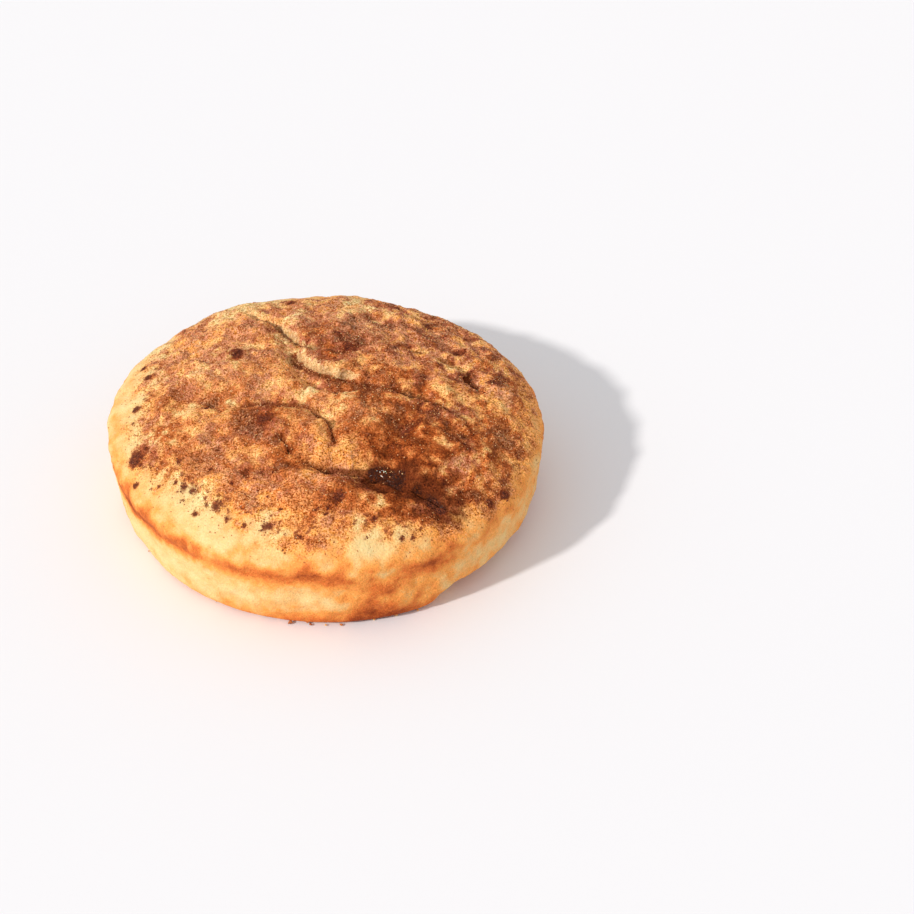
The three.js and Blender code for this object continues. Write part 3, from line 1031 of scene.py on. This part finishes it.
def join_copies(name, shapes, spots, frames, sizes, tones):
    """Joins copies of a few shapes into one piece: each at its spot, in its frame, at its size and tone."""
    vertices, triangles, shades = [], [], []
    start = 0
    for turn, (corners, faces) in enumerate(shapes):
        mine = slice(turn, None, len(shapes))
        scaled = corners[None] * sizes[mine, None]
        made = spots[mine, None] + np.einsum("nij,nkj->nki", frames[mine], scaled)
        first = start + len(corners) * np.arange(len(made))
        vertices.append(made.reshape(-1, 3))
        triangles.append((first[:, None, None] + faces[None]).reshape(-1, 3))
        shades.append(np.repeat(tones[mine], len(corners)))
        start += len(corners) * len(made)
    mesh = bpy.data.meshes.new(name)
    mesh.from_pydata(np.vstack(vertices) * MM, [], np.vstack(triangles))
    piece = bpy.data.objects.new(name, mesh)
    bpy.context.scene.collection.objects.link(piece)
    paint(piece, "tone", np.concatenate(shades))
    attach(piece, "root")
    return piece


def dress(piece, name, tints, noise_size, noise_share, **look):
    """Gives loose grains a material: tints along each grain's tone, which noise of a size varies."""
    finish, tree, shader, where = new_finish(name)
    tone = blend_of(painted(tree, "tone"), (speckle(where, noise_size), noise_share))
    tree.links.new(ramp(tone, tints), shader.inputs["Base Color"])
    set_inputs(shader, look)
    piece.data.materials.append(finish)


print("the skin has", len(skin_corners), "triangles to scatter on")

# %% [markdown]
# ## Ground cinnamon
#
# Ground bark falls as flat splinters, from dust to flecks of about two thirds of a millimetre. Each is a cube
# whose corners are shaken, laid flat on the crust. Most lie in the coat, and a few have strayed to the pale
# rim. Their tone runs from tan to nearly black.

# %% Scatter the cinnamon
FLECKS = 16000
FLECK_SHAPE = np.array((1.0, 0.7, 0.3))
FLECK_TINTS = [(0.0, 232, 166, 108), (0.5, 176, 100, 50), (1.0, 96, 40, 10)]
FLECK_LOOK = {"Roughness": 0.8, "Specular IOR Level": 0.1}
COAT_POWER = 1.3
STRAY_SHARE = 0.03
EDGE_SHARE, EDGE_WIDTH = 0.26, 6.0
MOST_TORN = 0.95
LEAST_DARK, RANDOM_DARK = 0.1, 0.4
DARK_BY_COAT, DARK_BY_SCORCH, DARK_BY_EDGE = 0.5, 0.8, 0.2
STRAY_SIZE = 0.7

rng = np.random.default_rng(seed=11)
shapes = rough_shapes(CUBE, shake=0.3)
strays = STRAY_SHARE + EDGE_SHARE * bell(inside - EDGE_SHIFT, EDGE_WIDTH)
chances = coat**COAT_POWER + strays * ease(height, RING_HEIGHT, CROWN_FULL)
chances *= 1 - np.clip(torn_share, 0, MOST_TORN)
spots, normals, under = spots_on_skin(rng, FLECKS, chances)
darkness = DARK_BY_COAT * coat[under] + DARK_BY_SCORCH * np.clip(scorch[under], 0, 1)
darkness += DARK_BY_EDGE * (1 - cover[under])
tones = LEAST_DARK + darkness + RANDOM_DARK * rng.random(FLECKS)
sizes = sizes_between(rng, FLECKS, least=0.22, most=0.7, power=3)
sizes *= STRAY_SIZE + (1 - STRAY_SIZE) * cover[under]
scales = sizes[:, None] * FLECK_SHAPE
flecks = join_copies("cinnamon", shapes, spots, frames_on(rng, normals), scales, tones)
dress(flecks, "ground_cinnamon", FLECK_TINTS, noise_size=0.3, noise_share=0.6, **FLECK_LOOK)
print("scattered", FLECKS, "flecks of cinnamon with", len(flecks.data.polygons), "triangles")

# %% [markdown]
# ## Sugar crystals
#
# Sugar melts into the coat and leaves worn crystals, about a quarter of a millimetre across, that catch the
# light. They are shaken cubes too, but tilted every way, pale and glossy. In the caramel lie a few longer,
# nearly white ones: painted highlights that stand in for the glints on the wet caramel.

# %% Scatter the sugar
CRYSTALS = 8000
# The palest tint is for the painted highlights in the caramel.
CRYSTAL_TINTS = [(0.0, 216, 146, 92), (0.6, 230, 168, 114), (0.85, 244, 196, 144), (1.0, 255, 234, 212)]
CRYSTAL_LOOK = {
    "Roughness": 0.4, "Specular IOR Level": 0.15, "Subsurface Weight": 0.3, "Subsurface Scale": 0.5 * MM,
}
PALEST_CRYSTAL = 0.85
LEAST_SUGAR = 0.05
SCORCH_LOSS, COAT_LIMIT = 0.8, 1.2
# Painted highlights: spots in the caramel where longer, nearly white crystals stand in for wet glints.
GLINTS = [(17.5, -35.2, 1.1, 1), (19.5, -34.8, 1.0, 1), (23.2, -35.6, 0.6, 1)]
GLINT_SHAPE = np.array((1.9, 0.8, 0.6))
GLINT_SHARE, GLINT_FROM = 0.6, 0.4

rng = np.random.default_rng(seed=23)
shapes = rough_shapes(CUBE, shake=0.16)
unscorched = (1 - SCORCH_LOSS * np.clip(scorch, 0, 1)) ** 2 * (COAT_LIMIT - coat)
glint_spots = np.clip(patchwork(plan, GLINTS), 0, 1)
chances = np.clip(sugar, LEAST_SUGAR, 1) * cover * unscorched + GLINT_SHARE * glint_spots
spots, normals, under = spots_on_skin(rng, CRYSTALS, chances)
glinting = glint_spots[under] > GLINT_FROM
tones = np.where(glinting, 1, PALEST_CRYSTAL * rng.random(CRYSTALS))
tilts = rng.normal(size=normals.shape)
tilts /= np.linalg.norm(tilts, axis=1, keepdims=True)
sizes = sizes_between(rng, CRYSTALS, least=0.16, most=0.32, power=2)
scales = sizes[:, None] * np.where(glinting[:, None], GLINT_SHAPE, 1)
crystals = join_copies("sugar", shapes, spots, frames_on(rng, tilts), scales, tones)
dress(crystals, "sugar_crystals_and_glints", CRYSTAL_TINTS, noise_size=1.0, noise_share=0.0, **CRYSTAL_LOOK)
print("scattered", CRYSTALS, "crystals with", len(crystals.data.polygons), "triangles")

# %% [markdown]
# ## Dark clumps
#
# Where the spice fell in lumps it scorched. The stains are in the crust's material already; on top of each
# lies a cluster of coarse dark grains, heaped by the same painted amount.

# %% Heap the dark clumps
CLUMP_GRAINS = 2200
LUMP_SHAPE = np.array((1.0, 0.8, 0.6))
CLUMP_TINTS = [(0.0, 150, 78, 44), (0.5, 112, 52, 30), (1.0, 76, 34, 26)]
CLUMP_LOOK = {"Roughness": 0.65, "Specular IOR Level": 0.15}
CLUMP_FROM = 0.25

rng = np.random.default_rng(seed=31)
shapes = rough_shapes(BALL, shake=0.18)
spots, normals, _ = spots_on_skin(rng, CLUMP_GRAINS, np.clip(clumps - CLUMP_FROM, 0, 1))
sizes = sizes_between(rng, CLUMP_GRAINS, least=0.25, most=0.65, power=2)
scales = sizes[:, None] * LUMP_SHAPE
frames = frames_on(rng, normals)
heaps = join_copies("clumps", shapes, spots, frames, scales, rng.random(CLUMP_GRAINS))
dress(heaps, "scorched_spice", CLUMP_TINTS, noise_size=0.5, noise_share=0.8, **CLUMP_LOOK)
print("heaped", CLUMP_GRAINS, "dark grains with", len(heaps.data.polygons), "triangles")

# %% [markdown]
# ## Crumbs at the foot
#
# A few crumbs of crust broke off and stuck to the foot where it meets the ground. They are coarse shaken
# balls, browned like the hem. So few are placed one by one, each by its bearing and its size.

# %% Stick the crumbs to the foot
CRUMBS = [
    (-97.5, 1.6), (-93, 1.9), (-92, 1.0), (-88, 0.8), (-84, 1.1), (-75, 0.9), (-69, 1.2), (-63, 0.9),
    (-120, 0.7), (-150, 0.6), (150, 0.8), (60, 1.0), (20, 0.8),
]
CRUMB_TINTS = [(0.0, 232, 178, 104), (0.6, 206, 128, 62), (1.0, 150, 80, 40)]
CRUMB_LOW, CRUMB_HIGH = 0.2, 1.5

rng = np.random.default_rng(seed=47)
shapes = rough_shapes(BALL, shake=0.16)
turns, sizes = np.array(CRUMBS).T
foot_band = np.flatnonzero((height > CRUMB_LOW) & (height < CRUMB_HIGH))
turn_away = np.abs((bearing[foot_band] - turns[:, None] + 180) % 360 - 180)
spots = places[foot_band[turn_away.argmin(1)]]
spots[:, 2] = LUMP_SHAPE[2] * sizes / 2
frames = frames_on(rng, np.tile((0.0, 0.0, 1.0), (len(spots), 1)))
scales = sizes[:, None] * LUMP_SHAPE
crumbs = join_copies("crumbs", shapes, spots, frames, scales, rng.random(len(spots)))
resting = places_of(crumbs)
resting[:, 2] = np.clip(resting[:, 2], 0, None)
move_to(crumbs, resting)
dress(crumbs, "toasted_crumb", CRUMB_TINTS, noise_size=0.8, noise_share=1.2, Roughness=0.8)
print("stuck", len(spots), "crumbs to the foot")
